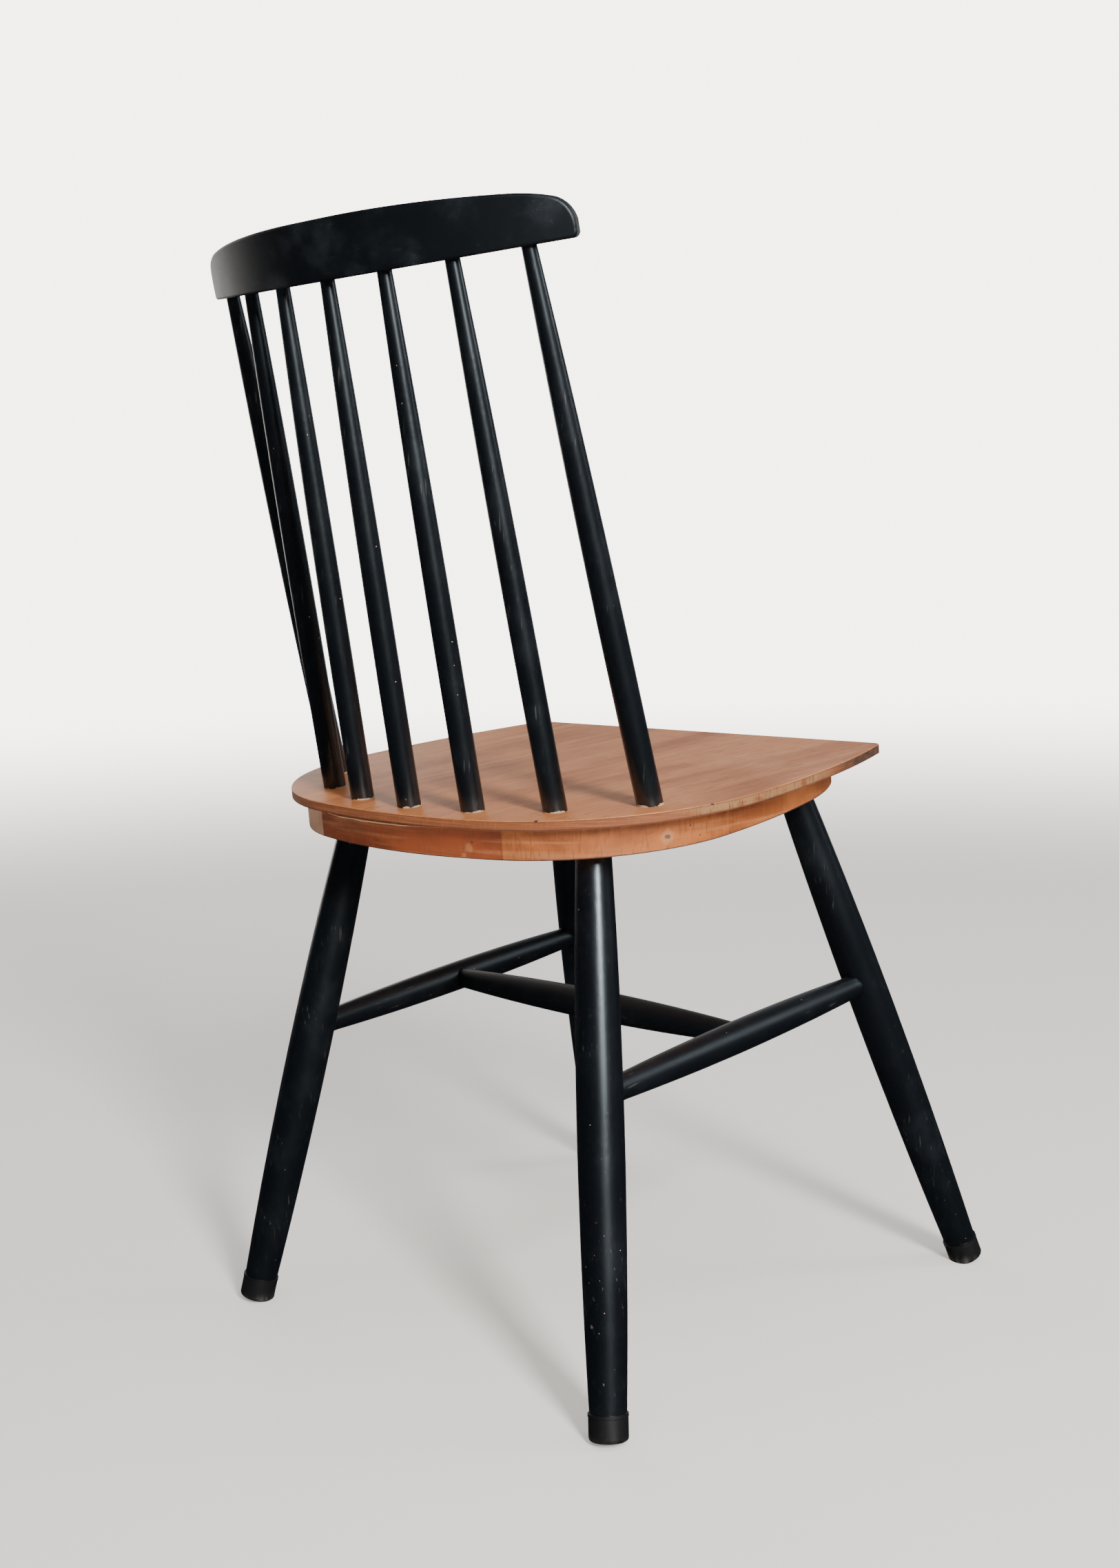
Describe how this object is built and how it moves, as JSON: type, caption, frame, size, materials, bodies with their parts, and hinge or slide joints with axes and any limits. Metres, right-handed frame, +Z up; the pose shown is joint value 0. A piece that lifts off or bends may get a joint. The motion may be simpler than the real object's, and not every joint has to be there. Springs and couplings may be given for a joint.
{
  "type": "spindle-back dining chair",
  "caption": "Armless dining chair with a flat D-shaped plywood seat, turned splayed legs with an H stretcher, and a fan of slim spindles under a bent top rail.",
  "frame": {"origin": "on the floor, at the bottom centre of the chair's bounding box", "axes": "+Z up; -Y is the front, the way the sitter faces; +X is the sitter's left; the chair is symmetric about X = 0"},
  "size_m": [0.4342, 0.5097, 0.8186],
  "materials": {
    "teak_veneered_plywood": "satin varnish over reddish-brown veneer, bare ply edge",
    "varnished_beech": "orange-brown satin varnish",
    "bare_beech": "unfinished",
    "black_lacquered_beech": "satin black lacquer, slightly worn",
    "black_rubber": "matt black"
  },
  "bodies": {
    "root": {"cross_stretcher": "black_lacquered_beech", "foot_cap_front_left": "black_rubber", "foot_cap_front_right": "black_rubber", "foot_cap_rear_left": "black_rubber", "foot_cap_rear_right": "black_rubber", "frame_dowels": "bare_beech", "frame_front_rail": "varnished_beech", "frame_rear_rail": "varnished_beech", "frame_side_rail_left": "varnished_beech", "frame_side_rail_right": "varnished_beech", "front_leg_left": "black_lacquered_beech", "front_leg_right": "black_lacquered_beech", "rear_leg_left": "black_lacquered_beech", "rear_leg_right": "black_lacquered_beech", "seat_board": "teak_veneered_plywood", "side_stretcher_left": "black_lacquered_beech", "side_stretcher_right": "black_lacquered_beech", "spindle_centre": "black_lacquered_beech", "spindle_inner_left": "black_lacquered_beech", "spindle_inner_right": "black_lacquered_beech", "spindle_middle_left": "black_lacquered_beech", "spindle_middle_right": "black_lacquered_beech", "spindle_outer_left": "black_lacquered_beech", "spindle_outer_right": "black_lacquered_beech", "top_rail": "black_lacquered_beech"}
  },
  "joints": []
}
